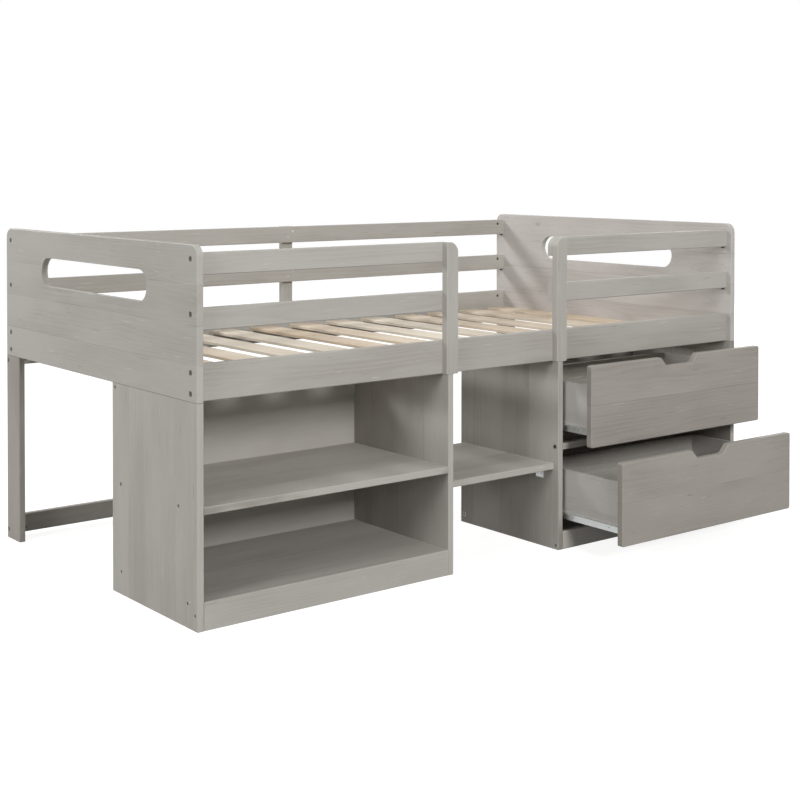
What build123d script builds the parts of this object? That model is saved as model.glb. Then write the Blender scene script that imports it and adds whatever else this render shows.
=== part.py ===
from build123d import *
import os

# Low loft bed: a slatted, guarded bed frame that stands on an open bookcase, a chest with
# two drawers and a pair of back legs, with a shelf between the two cases.
# Millimetres. X runs along the bed, Y from its front to its back, Z up from the floor.
# The origin is on the floor, midway along the bed, and midway between the back of the bed
# and the face of the lower drawer as it stands open.

# Whole bed
bed_length = 1960
bed_width = 1080
base_height = 535
end_panel_height = 370

# Boards, guard rails and posts
panel_thick = 18
rail_thick = 20
rail_width = 53
side_board_width = 88
top_rail_drop = 20
mid_rail_drop = 150
post_width = 40
climb_in_start = 806
climb_in_width = 369
corner_radius = 28
edge_ease = 2
grip_length = 600
grip_width = 80
grip_drop = 113

# Slats and the cleats that carry them
cleat_height = 18
cleat_depth = 20
cleat_end_gap = 45
slat_width = 84
slat_thick = 9
slat_ease = 1.5
slat_pitch = 150.4
slat_first_gap = 49
slat_least_gap = 20
slat_play = 1

# Back legs with their two rails
leg_width = 85
leg_rail_height = 30
stretcher_start = 11

# Bookcase under the left end
bookcase_width = 789
bookcase_depth = 420
bookcase_shelf_level = 272
bookcase_plinth_height = 68
case_ease = 1.5
back_panel_thick = 6
back_panel_bite = 9
stay_height = 32

# Shelf between the two cases, on four angle brackets
middle_shelf_width = 392
middle_shelf_level = 226
middle_shelf_setback = 20
middle_shelf_depth = 380
bracket_leg = 30
bracket_thick = 2
bracket_width = 30
bracket_bend = 2
bracket_inset = 38

# Drawer chest under the right end
chest_depth = 414
chest_plinth_height = 50
chest_rail_start = 283
chest_rail_depth = 40

# Drawers
upper_drawer_open = 108
lower_drawer_open = 223
drawer_travel = 260
front_gap = 2
front_height = 229
front_corner = 6
notch_top = 160
notch_bottom = 112
notch_depth = 25
notch_round = 9
box_lift = 33
box_height = 139
box_length = 350
box_board_thick = 12
box_bottom_thick = 5
box_bottom_lift = 10
groove_depth = 6
groove_play = 0.4

# Roller runners: a channel on the chest and an angle on the drawer
runner_space = 12.5
runner_length = 350
channel_setback = 2
channel_height = 18
channel_depth = 10.3
channel_drop = 2.4
angle_height = 20
angle_lip = 8.3
angle_foot = 13
sheet = 1.2
roller_radius = 7.5
roller_width = 7
roller_play = 0.3
roller_end = 9
pin_radius = 2
rivet_radius = 3.5
rivet_thick = 0.7
front_roller_start = 2.2
rear_roller_start = 3
track_start = 20
stop_width = 4

# Bolts that join the rails to the end panels and legs
bolt_radius = 3
bolt_length = 55
head_radius = 6.5
head_thick = 2
bore_play = 0.4
rail_bolt_edge = 14
board_bolt_edge = 19

# Planes and levels that follow from the sizes above
left = -bed_length / 2
right = bed_length / 2
front = (lower_drawer_open - bed_width) / 2
back = front + bed_width
middle_y = (front + back) / 2
inner_left = left + panel_thick
inner_right = right - panel_thick
bed_top = base_height + end_panel_height
rail_front = front + rail_thick
rail_back = back - rail_thick
top_rail_top = bed_top - top_rail_drop
mid_rail_top = bed_top - mid_rail_drop
board_top = base_height + side_board_width
slat_level = base_height + cleat_height
climb_in_left = left + climb_in_start
climb_in_right = climb_in_left + climb_in_width
bookcase_right = left + bookcase_width
bookcase_back = front + bookcase_depth
bookcase_stay_back = bookcase_back - back_panel_thick
chest_left = bookcase_right + middle_shelf_width
chest_inner_left = chest_left + panel_thick
chest_middle = (chest_inner_left + inner_right) / 2
chest_back = front + chest_depth
chest_stay_back = chest_back - back_panel_thick
lower_front_start = chest_plinth_height + front_gap
upper_front_start = chest_rail_start + panel_thick + front_gap
channel_front = front + panel_thick + channel_setback
head_seat = head_thick + bore_play

# Round pieces that stand on the plane they are placed by
on_face = (Align.CENTER, Align.CENTER, Align.MIN)

os.makedirs("parts", exist_ok=True)


def save(piece, name):
    """Label a finished piece and write it under its name."""
    piece.part.label = name
    export_step(piece.part, f"parts/{name}.step")


def across(x):
    """Upright plane across the bed: sketches lie in Y and Z, and extrude to the right."""
    return Plane.YZ.offset(x)


def along(y):
    """Upright plane along the bed: sketches lie in X and Z, and extrude to the front."""
    return Plane.XZ.offset(-y)


def board(x, y, z, mode=Mode.ADD):
    """A square-edged board between a pair of limits on each axis."""
    with Locations((x[0], y[0], z[0])):
        Box(x[1] - x[0], y[1] - y[0], z[1] - z[0], align=Align.MIN, mode=mode)


def facing(direction, spots):
    """Planes at some spots that all face one way, for holes and fasteners set in from there."""
    return [Plane(origin=spot, z_dir=direction) for spot in spots]


def at(x, spots):
    """Full places of some Y and Z spots at one X."""
    return [(x, y, z) for y, z in spots]


def bolt_holes(x, outward, spots):
    """Bolt holes through a panel whose outer face is at x, each with a seat for a sunk head."""
    with Locations(*facing((outward, 0, 0), at(x, spots))):
        CounterBoreHole(bolt_bore, head_radius + bore_play, head_seat, depth=panel_thick)


# Places of the bolts on the ends of the bed, as Y and Z

rail_levels = [top_rail_top - rail_bolt_edge, mid_rail_top - rail_bolt_edge]
board_levels = [board_top - board_bolt_edge, base_height + board_bolt_edge]
front_column = rail_front + rail_thick / 2
back_column = rail_back - rail_thick / 2
leg_column = back - rail_thick / 2
end_panel_spots = [(y, z) for y in (front_column, back_column) for z in rail_levels + board_levels]
leg_rail_levels = [base_height - leg_rail_height / 2, stretcher_start + rail_bolt_edge]
leg_spots = [(leg_column, z) for z in leg_rail_levels]

# Bolts reach from their sunk heads through the panel and into the end of the rail
bolt_bore = bolt_radius + bore_play
bolt_bore_depth = bolt_length + head_seat - panel_thick + bore_play


# End panels: rounded top corners and a long hand grip


def end_panel(name, x, outward):
    """One end of the bed, its thickness to the right of x, with the bolt heads outside."""
    with BuildPart() as panel:
        with BuildSketch(across(x)) as outline:
            with Locations((middle_y, base_height)):
                Rectangle(bed_width, end_panel_height, align=(Align.CENTER, Align.MIN))
            fillet(outline.vertices().group_by(Axis.Y)[-1], radius=corner_radius)
        extrude(amount=panel_thick)
        bottom_edges = panel.faces().sort_by(Axis.Z)[0].edges()
        outline_edges = panel.edges().filter_by(Axis.X, reverse=True) - bottom_edges
        chamfer(outline_edges, length=edge_ease)
        with BuildSketch(across(x)):
            with Locations((middle_y, bed_top - grip_drop)):
                SlotOverall(grip_length, grip_width)
        extrude(amount=panel_thick, mode=Mode.SUBTRACT)
        outer_face = x if outward < 0 else x + panel_thick
        bolt_holes(outer_face, outward, end_panel_spots)
    save(panel, name)


end_panel("left_end_panel", left, -1)
end_panel("right_end_panel", inner_right, 1)


# Rails and side boards, bolted end-on between the end panels


def bolt_bores(ends, y, levels):
    """Bores for bolts in the ends of a rail; each end is its X and the way it faces."""
    for x, outward in ends:
        with Locations(*facing((outward, 0, 0), [(x, y, z) for z in levels])):
            Hole(bolt_bore, depth=bolt_bore_depth)


def free_edges(piece, ends):
    """The long edges of a rail and the edges of its free end, but none where it butts."""
    butted = ShapeList()
    for _, outward in ends:
        butted += piece.faces().sort_by(Axis.X)[-1 if outward > 0 else 0].edges()
    return piece.edges().filter_by(Axis.Y, reverse=True) - butted


def guard_rail(name, x, top, y_back, ends, free_end=None):
    """A guard rail between two X limits; a free top corner is rounded like its post."""
    with BuildPart() as rail:
        with BuildSketch(along(y_back)) as outline:
            with Locations((x[0], top)):
                Rectangle(x[1] - x[0], rail_width, align=(Align.MIN, Align.MAX))
            if free_end is not None:
                top_corners = outline.vertices().group_by(Axis.Y)[-1].sort_by(Axis.X)
                fillet(top_corners[free_end], radius=corner_radius)
        extrude(amount=rail_thick)
        chamfer(free_edges(rail, ends), length=edge_ease)
        bolt_bores(ends, y_back - rail_thick / 2, [top - rail_bolt_edge])
    save(rail, name)


left_butt = (inner_left, -1)
right_butt = (inner_right, 1)
both_butts = [left_butt, right_butt]
left_guard = (inner_left, climb_in_left)
right_guard = (climb_in_right, inner_right)
whole_side = (inner_left, inner_right)
front_rail_back = rail_front + rail_thick
guard_rail("front_left_top_rail", left_guard, top_rail_top, front_rail_back, [left_butt], -1)
guard_rail("front_left_mid_rail", left_guard, mid_rail_top, front_rail_back, [left_butt])
guard_rail("front_right_top_rail", right_guard, top_rail_top, front_rail_back, [right_butt], 0)
guard_rail("front_right_mid_rail", right_guard, mid_rail_top, front_rail_back, [right_butt])
guard_rail("back_top_rail", whole_side, top_rail_top, rail_back, both_butts)
guard_rail("back_mid_rail", whole_side, mid_rail_top, rail_back, both_butts)


def side_board(name, y_back):
    """The deep board along one side of the slats."""
    with BuildPart() as side:
        board(whole_side, (y_back - rail_thick, y_back), (base_height, board_top))
        chamfer(side.edges().filter_by(Axis.X), length=edge_ease)
        bolt_bores(both_butts, y_back - rail_thick / 2, board_levels)
    save(side, name)


side_board("front_side_board", front_rail_back)
side_board("back_side_board", rail_back)


# Guard posts, fixed to the outside of the rails and side boards


def guard_post(name, x_start, y_back, rounded=()):
    """An upright strap; its top corner at the free end of the rails is rounded with them."""
    with BuildPart() as post:
        with BuildSketch(along(y_back)) as outline:
            with Locations((x_start, base_height)):
                Rectangle(post_width, top_rail_top - base_height, align=Align.MIN)
            top_corners = outline.vertices().group_by(Axis.Y)[-1].sort_by(Axis.X)
            for corner in rounded:
                fillet(top_corners[corner], radius=corner_radius)
        extrude(amount=rail_thick)
        outer_face = post.faces().sort_by(Axis.Y)[0 if y_back < middle_y else -1]
        chamfer(outer_face.edges().sort_by(Axis.Z)[1:], length=edge_ease)
    save(post, name)


guard_post("front_left_guard_post", climb_in_left - post_width, rail_front, [-1])
guard_post("front_right_guard_post", climb_in_right, rail_front, [0])
guard_post("back_guard_post", (left + right - post_width) / 2, back)


# Slats on a cleat along each side board

first_slat = inner_left + slat_first_gap + slat_width / 2
last_slat = inner_right - slat_width / 2
slat_run = last_slat - slat_width - slat_least_gap - first_slat
slat_count = int(slat_run / slat_pitch) + 1
slat_middles = [first_slat + i * slat_pitch for i in range(slat_count)] + [last_slat]
cleat_span = (inner_left + cleat_end_gap, inner_right - cleat_end_gap)
cleat_levels = (base_height, slat_level)

with BuildPart() as front_slat_cleat:
    board(cleat_span, (front_rail_back, front_rail_back + cleat_depth), cleat_levels)
save(front_slat_cleat, "front_slat_cleat")

back_board_face = rail_back - rail_thick
with BuildPart() as back_slat_cleat:
    board(cleat_span, (back_board_face - cleat_depth, back_board_face), cleat_levels)
save(back_slat_cleat, "back_slat_cleat")

with BuildPart() as bed_slats:
    with BuildSketch(along(back_board_face - slat_play)):
        with Locations(*[(x, slat_level) for x in slat_middles]):
            Rectangle(slat_width, slat_thick, align=(Align.CENTER, Align.MIN))
    extrude(amount=back_board_face - front_rail_back - 2 * slat_play)
    chamfer(bed_slats.edges().filter_by(Axis.Y).group_by(Axis.Z)[-1], length=slat_ease)
save(bed_slats, "bed_slats")


# Back legs: upright boards joined by a rail under the bed and a stretcher near the floor


def back_leg(name, x, outward):
    """A leg board flush with the end panel above it."""
    with BuildPart() as leg:
        board((x, x + panel_thick), (back - leg_width, back), (0, base_height))
        chamfer(leg.edges().filter_by(Axis.Z), length=edge_ease)
        outer_face = x if outward < 0 else x + panel_thick
        bolt_holes(outer_face, outward, leg_spots)
    save(leg, name)


def leg_rail(name, levels, bolt_level):
    """A rail between the two legs."""
    with BuildPart() as rail:
        board(whole_side, (rail_back, back), levels)
        chamfer(rail.edges().filter_by(Axis.X), length=edge_ease)
        bolt_bores(both_butts, leg_column, [bolt_level])
    save(rail, name)


back_leg("left_back_leg", left, -1)
back_leg("right_back_leg", inner_right, 1)
leg_rail("back_upper_rail", (base_height - leg_rail_height, base_height), leg_rail_levels[0])
leg_rail("back_stretcher", (stretcher_start, stretcher_start + rail_width), leg_rail_levels[1])


# Case work shared by the bookcase and the chest


def case_side(name, x, depth, outward):
    """A side panel with a rebate for the back panel along its inner back edge."""
    with BuildPart() as side:
        board((x, x + panel_thick), (front, front + depth), (0, base_height))
        chamfer(side.edges().filter_by(Axis.Z).group_by(Axis.Y)[0], length=case_ease)
        rebate_x = (x + panel_thick - back_panel_bite, x + panel_thick)
        if outward > 0:
            rebate_x = (x, x + back_panel_bite)
        rebate_y = (front + depth - back_panel_thick, front + depth)
        board(rebate_x, rebate_y, (0, base_height), mode=Mode.SUBTRACT)
    save(side, name)


def case_board(name, x, y, z, eased=False):
    """A board between two case sides, with its front edges eased where they show."""
    with BuildPart() as piece:
        board(x, y, z)
        if eased:
            chamfer(piece.edges().filter_by(Axis.X).group_by(Axis.Y)[0], length=case_ease)
    save(piece, name)


def case_back(name, x, y_back):
    """A thin back panel, let into the rebates of both sides."""
    with BuildPart() as panel:
        panel_x = (x[0] - back_panel_bite, x[1] + back_panel_bite)
        board(panel_x, (y_back - back_panel_thick, y_back), (0, base_height))
    save(panel, name)


# Bookcase: two sides, a shelf, a floor behind a plinth, a back panel and a stay

books = (inner_left, bookcase_right - panel_thick)
books_deep = (front, bookcase_stay_back)
shelf_levels = (bookcase_shelf_level, bookcase_shelf_level + panel_thick)
floor_levels = (bookcase_plinth_height - panel_thick, bookcase_plinth_height)
stay_levels = (base_height - stay_height, base_height)
behind_plinth = (front + panel_thick, bookcase_stay_back)
plinth_deep = (front, front + panel_thick)
books_stay = (bookcase_stay_back - panel_thick, bookcase_stay_back)

case_side("bookcase_left_side", left, bookcase_depth, -1)
case_side("bookcase_right_side", books[1], bookcase_depth, 1)
case_board("bookcase_shelf", books, books_deep, shelf_levels, eased=True)
case_board("bookcase_floor", books, behind_plinth, floor_levels)
plinth_levels = (0, bookcase_plinth_height)
case_board("bookcase_plinth", books, plinth_deep, plinth_levels, eased=True)
case_board("bookcase_stay", books, books_stay, stay_levels)
case_back("bookcase_back", books, bookcase_back)


# Chest: two sides, a rail between the drawers, a plinth, two stays and a back panel

chest = (chest_inner_left, inner_right)
chest_rail_deep = (front, front + chest_rail_depth)
chest_rail_levels = (chest_rail_start, chest_rail_start + panel_thick)
chest_plinth_levels = (0, chest_plinth_height)
chest_stay = (chest_stay_back - panel_thick, chest_stay_back)

case_side("chest_left_side", chest_left, chest_depth, -1)
case_side("chest_right_side", inner_right, chest_depth, 1)
case_board("chest_rail", chest, chest_rail_deep, chest_rail_levels, eased=True)
case_board("chest_plinth", chest, plinth_deep, chest_plinth_levels, eased=True)
case_board("chest_lower_stay", chest, chest_stay, chest_plinth_levels)
case_board("chest_upper_stay", chest, chest_stay, stay_levels)
case_back("chest_back", chest, chest_back)


# Shelf between the cases and its angle brackets

middle_shelf_front = front + middle_shelf_setback
middle_shelf_back = middle_shelf_front + middle_shelf_depth
middle_shelf_middle = (bookcase_right + chest_left) / 2

with BuildPart() as middle_shelf:
    shelf_top = middle_shelf_level + panel_thick
    shelf_deep = (middle_shelf_front, middle_shelf_back)
    board((bookcase_right, chest_left), shelf_deep, (middle_shelf_level, shelf_top))
    chamfer(middle_shelf.edges().filter_by(Axis.X).group_by(Axis.Y)[0], length=case_ease)
save(middle_shelf, "middle_shelf")

with BuildPart() as shelf_brackets:
    bracket_front = middle_shelf_front + bracket_inset
    with BuildSketch(along(bracket_front + bracket_width)) as angle:
        with Locations((chest_left, middle_shelf_level)):
            Rectangle(bracket_leg, bracket_leg, align=Align.MAX)
        bend = angle.vertices().sort_by_distance((chest_left, middle_shelf_level))[0]
        fillet(bend, radius=bracket_bend)
        with Locations((chest_left - bracket_thick, middle_shelf_level - bracket_thick)):
            Rectangle(bracket_leg, bracket_leg, align=Align.MAX, mode=Mode.SUBTRACT)
    extrude(amount=bracket_width)
    mirror(about=along((middle_shelf_front + middle_shelf_back) / 2))
    mirror(about=across(middle_shelf_middle))
save(shelf_brackets, "shelf_brackets")


# Drawers: a front with a finger notch, and a four-sided box grooved for its bottom


def notched_front(name, face_y, start):
    """The drawer front, with a sloped finger notch in its top edge."""
    width = chest[1] - chest[0] - 2 * front_gap
    groove_start = start + box_lift + box_bottom_lift
    groove_x = (chest[0] + runner_space, chest[1] - runner_space)
    with BuildPart() as panel:
        with BuildSketch(along(face_y + panel_thick)) as outline:
            with Locations((chest_middle, start)):
                Rectangle(width, front_height, align=(Align.CENTER, Align.MIN))
            fillet(outline.vertices(), radius=front_corner)
            with BuildLine(mode=Mode.PRIVATE) as notch:
                top = start + front_height
                Polyline(
                    (chest_middle - notch_top / 2, top),
                    (chest_middle - notch_bottom / 2, top - notch_depth),
                    (chest_middle + notch_bottom / 2, top - notch_depth),
                    (chest_middle + notch_top / 2, top),
                    close=True,
                )
            make_face(notch.edges(), mode=Mode.SUBTRACT)
            notch_corners = outline.vertices().sort_by_distance((chest_middle, top))[:4]
            fillet(notch_corners, radius=notch_round)
        extrude(amount=panel_thick)
        chamfer(panel.faces().sort_by(Axis.Y)[0].edges(), length=edge_ease)
        groove_y = (face_y + panel_thick - groove_depth, face_y + panel_thick)
        groove_z = (groove_start, groove_start + box_bottom_thick + groove_play)
        board(groove_x, groove_y, groove_z, mode=Mode.SUBTRACT)
    save(panel, name)


def box_side(name, x, inner, y, z, groove_z):
    """A side of the drawer box with a groove for the bottom along its inner face."""
    with BuildPart() as side:
        board(x, y, z)
        groove_x = (inner - groove_depth, inner) if inner == x[1] else (inner, inner + groove_depth)
        board(groove_x, y, groove_z, mode=Mode.SUBTRACT)
    save(side, name)


def drawer(level, start, opened):
    """All wooden pieces of one drawer, with its front's lower edge at one height."""
    face_y = front - opened
    box_y = (face_y + panel_thick, face_y + panel_thick + box_length)
    box_start = start + box_lift
    box_z = (box_start, box_start + box_height)
    bottom_z = box_start + box_bottom_lift
    bottom_top = bottom_z + box_bottom_thick
    outer = (chest[0] + runner_space, chest[1] - runner_space)
    inner = (outer[0] + box_board_thick, outer[1] - box_board_thick)
    groove_z = (bottom_z, bottom_top + groove_play)
    notched_front(f"{level}_drawer_front", face_y, start)
    box_side(f"{level}_drawer_left_side", (outer[0], inner[0]), inner[0], box_y, box_z, groove_z)
    box_side(f"{level}_drawer_right_side", (inner[1], outer[1]), inner[1], box_y, box_z, groove_z)
    with BuildPart() as box_back:
        back_z = (bottom_top + groove_play, box_z[1])
        board(inner, (box_y[1] - box_board_thick, box_y[1]), back_z)
    save(box_back, f"{level}_drawer_back")
    with BuildPart() as box_bottom:
        reach = groove_depth - groove_play
        bottom_x = (inner[0] - reach, inner[1] + reach)
        board(bottom_x, (box_y[0] - reach, box_y[1]), (bottom_z, bottom_top))
    save(box_bottom, f"{level}_drawer_bottom")


# Roller runners. Each chest channel has a roller at its front end, under the lip of the
# drawer's angle, and each angle has a roller at its back end, inside the channel. A stop
# pressed into the channel holds the back roller when the drawer is fully out.


def riveted_pin(wall_x, end_x, y, z):
    """A roller pin that stands out of a runner and ends in a flat rivet head."""
    outward = 1 if end_x > wall_x else -1
    with Locations(*facing((outward, 0, 0), [(wall_x, y, z)])):
        Cylinder(pin_radius, abs(end_x - wall_x), align=on_face)
    with Locations(*facing((-outward, 0, 0), [(end_x, y, z)])):
        Cylinder(rivet_radius, rivet_thick, align=on_face)


def roller_pair(name, x_start, y, z):
    """The left and right rollers of one drawer that turn on one line."""
    with BuildPart() as rollers:
        with BuildSketch(across(x_start)):
            with Locations((y, z)):
                Circle(roller_radius)
                Circle(pin_radius + roller_play, mode=Mode.SUBTRACT)
        extrude(amount=roller_width)
        mirror(about=across(chest_middle))
    save(rollers, name)


def runners(level, start, opened):
    """Both runners of one drawer and their rollers, placed for how far the drawer is out."""
    box_start = start + box_lift
    wall = chest[0]
    channel_end = channel_front + runner_length
    channel_start_z = box_start - channel_drop
    channel_z = (channel_start_z, channel_start_z + channel_height)
    angle_front = front - opened + panel_thick
    angle_back = angle_front + runner_length
    angle_x = (wall + runner_space - sheet, wall + runner_space)
    angle_z = (box_start - sheet, box_start - sheet + angle_height)
    front_axle = (channel_front + roller_end, angle_z[1] - sheet - roller_play - roller_radius)
    rear_axle = (angle_back - roller_end, channel_z[0] + sheet + roller_play + roller_radius)

    with BuildPart() as channels:
        board((wall, wall + channel_depth), (channel_front, channel_end), channel_z)
        hollow_z = (channel_z[0] + sheet, channel_z[1] - sheet)
        hollow_x = (wall + sheet, wall + channel_depth)
        board(hollow_x, (channel_front, channel_end), hollow_z, mode=Mode.SUBTRACT)
        roller_bay = (channel_front, channel_front + track_start)
        board(hollow_x, roller_bay, (hollow_z[0], channel_z[1]), mode=Mode.SUBTRACT)
        stopped_axle = rear_axle[0] + opened - drawer_travel
        stop_back = stopped_axle - roller_radius - roller_play
        stop_x = (wall + sheet, wall + sheet + stop_width)
        board(stop_x, (stop_back - sheet, stop_back), hollow_z)
        riveted_pin(wall + sheet, wall + channel_depth, *front_axle)
        mirror(about=across(chest_middle))
    save(channels, f"{level}_chest_channels")

    with BuildPart() as angles:
        board(angle_x, (angle_front, angle_back), angle_z)
        board((angle_x[0], angle_x[0] + angle_foot), (angle_front, angle_back), (angle_z[0], box_start))
        lip_z = (angle_z[1] - sheet, angle_z[1])
        board((angle_x[0] - angle_lip, angle_x[0]), (angle_front, angle_back), lip_z)
        riveted_pin(angle_x[0], wall + rear_roller_start - rivet_thick - roller_play, *rear_axle)
        mirror(about=across(chest_middle))
    save(angles, f"{level}_drawer_angles")

    roller_pair(f"{level}_front_rollers", wall + front_roller_start, *front_axle)
    roller_pair(f"{level}_rear_rollers", wall + rear_roller_start, *rear_axle)


for level, start, opened in (
    ("upper", upper_front_start, upper_drawer_open),
    ("lower", lower_front_start, lower_drawer_open),
):
    drawer(level, start, opened)
    runners(level, start, opened)


# Bed bolts, their flat heads sunk in the end panels and legs


with BuildPart() as bed_bolts:
    for x, outward in ((left, -1), (right, 1)):
        head_x = x - outward * bore_play
        seat_x = x - outward * head_seat
        inward = (-outward, 0, 0)
        with Locations(*facing(inward, at(head_x, end_panel_spots + leg_spots))):
            Cylinder(head_radius, head_thick, align=on_face)
        with Locations(*facing(inward, at(seat_x, end_panel_spots + leg_spots))):
            Cylinder(bolt_radius, bolt_length, align=on_face)
save(bed_bolts, "bed_bolts")
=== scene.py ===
# %% [markdown]
# # Low loft bed, the finishes
# The bed frame stands on an open bookcase, a chest with two drawers and a pair of back legs.
# The boards, rails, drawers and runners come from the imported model, which is loaded here as a fixed frame.
# This script gives each of them its finish, adds the small fasteners, and lights the bed as in a studio.

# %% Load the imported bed
import math

import bpy
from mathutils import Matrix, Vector


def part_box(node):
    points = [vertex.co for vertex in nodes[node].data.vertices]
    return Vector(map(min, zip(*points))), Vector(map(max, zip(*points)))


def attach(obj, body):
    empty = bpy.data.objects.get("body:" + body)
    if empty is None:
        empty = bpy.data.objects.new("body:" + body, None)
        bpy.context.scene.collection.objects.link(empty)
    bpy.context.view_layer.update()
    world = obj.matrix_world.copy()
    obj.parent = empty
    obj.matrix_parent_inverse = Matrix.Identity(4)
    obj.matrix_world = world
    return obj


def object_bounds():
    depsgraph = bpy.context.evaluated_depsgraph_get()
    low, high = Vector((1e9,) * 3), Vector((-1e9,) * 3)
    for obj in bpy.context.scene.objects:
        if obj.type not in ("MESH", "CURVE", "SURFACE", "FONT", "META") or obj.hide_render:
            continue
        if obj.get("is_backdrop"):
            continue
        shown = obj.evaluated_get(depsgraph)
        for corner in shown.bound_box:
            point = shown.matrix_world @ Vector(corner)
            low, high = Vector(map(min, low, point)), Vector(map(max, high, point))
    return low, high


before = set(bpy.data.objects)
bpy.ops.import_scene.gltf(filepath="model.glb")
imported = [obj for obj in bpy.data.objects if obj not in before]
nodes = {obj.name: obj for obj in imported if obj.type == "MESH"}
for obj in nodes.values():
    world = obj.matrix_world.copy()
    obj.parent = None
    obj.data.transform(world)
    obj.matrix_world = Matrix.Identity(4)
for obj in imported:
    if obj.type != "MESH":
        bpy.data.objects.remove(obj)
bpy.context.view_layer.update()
mm = 0.001

# %% [markdown]
# ## Small helpers
# Colours are written as they look on a screen, so one function turns them into the linear values of the shader.
# Every tree below, of a material or of Geometry Nodes, is wired by the same short function:
# it adds a node, sets its properties, fills its inputs with values or links, and hands back its outputs.
# Values given in order fill the first inputs, and those that have to be picked out are given by name or number.


# %% Colour and node helpers
def colour(code):
    """Linear colour of an sRGB hex code."""
    parts = [int(code[i : i + 2], 16) / 255 for i in (1, 3, 5)]
    return tuple(v / 12.92 if v <= 0.04045 else ((v + 0.055) / 1.055) ** 2.4 for v in parts) + (1.0,)


def fill(node, inputs):
    """Fills a node's inputs with values, or with links from other nodes."""
    for key, value in inputs.items():
        if isinstance(value, bpy.types.NodeSocket):
            node.id_data.links.new(value, node.inputs[key])
        else:
            node.inputs[key].default_value = value


def add(tree, kind, *values, named=None, **settings):
    """Adds a node with its settings, fills its inputs in order or by name, and returns its outputs."""
    made = tree.nodes.new(kind)
    for name, value in settings.items():
        setattr(made, name, value)
    fill(made, dict(enumerate(values)) | (named or {}))
    return made.outputs


def new_material(name):
    """A material with an empty Principled surface, as (material, tree, shader)."""
    made = bpy.data.materials.new(name)
    made.use_nodes = True
    return made, made.node_tree, made.node_tree.nodes["Principled BSDF"]


print("grey of a mid tone:", round(colour("#808080")[0], 3))

# %% [markdown]
# ## Pine, first the planks
# Wide boards are glued up from planks, and each plank was sawn from another part of a trunk.
# So a point is first placed in its own plank: which one it is, how far to the side of the pith, and how deep.
# The plank's number goes through White Noise, which gives each plank three chances that stay the same on every run.
# One pattern over the whole board would be simpler, but its figure would run on across the glue lines.

# %% Where a point lies in its plank
layer_depth = 110 * mm
pith_spread = 80 * mm
trunk_length = 9.0
plank_seed = 3.7


def plank_place(tree, along, across, width, seam):
    """Splits a piece into planks from its seam on, and gives each point's place in its own plank."""
    thick = ({"X", "Y", "Z"} - {along, across}).pop()
    axis = add(tree, "ShaderNodeSeparateXYZ", add(tree, "ShaderNodeTexCoord")["Object"])
    offset = add(tree, "ShaderNodeMath", axis[across], seam, operation="SUBTRACT")[0]
    steps = add(tree, "ShaderNodeMath", offset, width, operation="DIVIDE")[0]
    number = add(tree, "ShaderNodeMath", steps, operation="FLOOR")[0]
    part = add(tree, "ShaderNodeMath", steps, operation="FRACT")[0]
    depths = add(tree, "ShaderNodeMath", axis[thick], layer_depth, operation="DIVIDE")[0]
    layer = add(tree, "ShaderNodeMath", depths, operation="FLOOR")[0]
    depth = add(tree, "ShaderNodeMath", depths, operation="FRACT")[0]

    key = add(tree, "ShaderNodeCombineXYZ", number, layer, plank_seed)[0]
    luck = add(tree, "ShaderNodeTexWhiteNoise", key)["Color"]
    chance = add(tree, "ShaderNodeSeparateColor", luck)

    # the pith runs somewhere under the plank's width, and up to 80 mm below its layer
    aside = add(tree, "ShaderNodeMath", part, chance[0], operation="SUBTRACT")[0]
    side = add(tree, "ShaderNodeMath", aside, width, operation="MULTIPLY")[0]
    under = add(tree, "ShaderNodeMath", chance[1], pith_spread, operation="MULTIPLY")[0]
    deep = add(tree, "ShaderNodeMath", depth, layer_depth, under, operation="MULTIPLY_ADD")[0]
    shifted = add(tree, "ShaderNodeMath", chance[2], trunk_length, axis[along], operation="MULTIPLY_ADD")[0]
    grain = add(tree, "ShaderNodeCombineXYZ", shifted, axis[across], axis[thick])[0]

    # how far the nearest glue line is, and how high the point lies on the bed
    near = add(tree, "ShaderNodeMath", steps, 0.5, operation="PINGPONG")[0]
    edge = add(tree, "ShaderNodeMath", near, width, operation="MULTIPLY")[0]
    spot = {"grain": grain, "shifted": shifted, "side": side, "deep": deep, "number": number, "layer": layer}
    return spot | {"tone": chance[2], "edge": edge, "height": axis["Z"]}


print("the pith lies up to", round((layer_depth + pith_spread) / mm), "mm behind a face")

# %% [markdown]
# ## Pine, then the growth rings
# A tree grows in rings round its pith, pale wood in spring and a dark line at the year's end.
# A board cut beside the pith shows them as wide flames on its face and as arcs on its end grain.
# So the rings are drawn by their real distance from the pith, and both faces come out right and meet at the edge.
# The trunk is never straight, so that distance bows along the board, swings round each knot,
# and stretches a little from year to year. A plain Wave texture would give stripes as even as a printed sheet.

# %% Rings round the pith
knot_spacing = (294.1 * mm, 153.8 * mm)
knot_swing, knot_reach = 12 * mm, 9.0
bow_length, bow_width, bow_height = 909.1 * mm, 333.3 * mm, 30 * mm
years_spacing, years_stretch = 22.22 * mm, 22 * mm


def cells(length, width):
    """Pattern cells in a metre, along the grain and in both directions across it."""
    return (1 / length, 1 / width, 1 / width)


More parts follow.
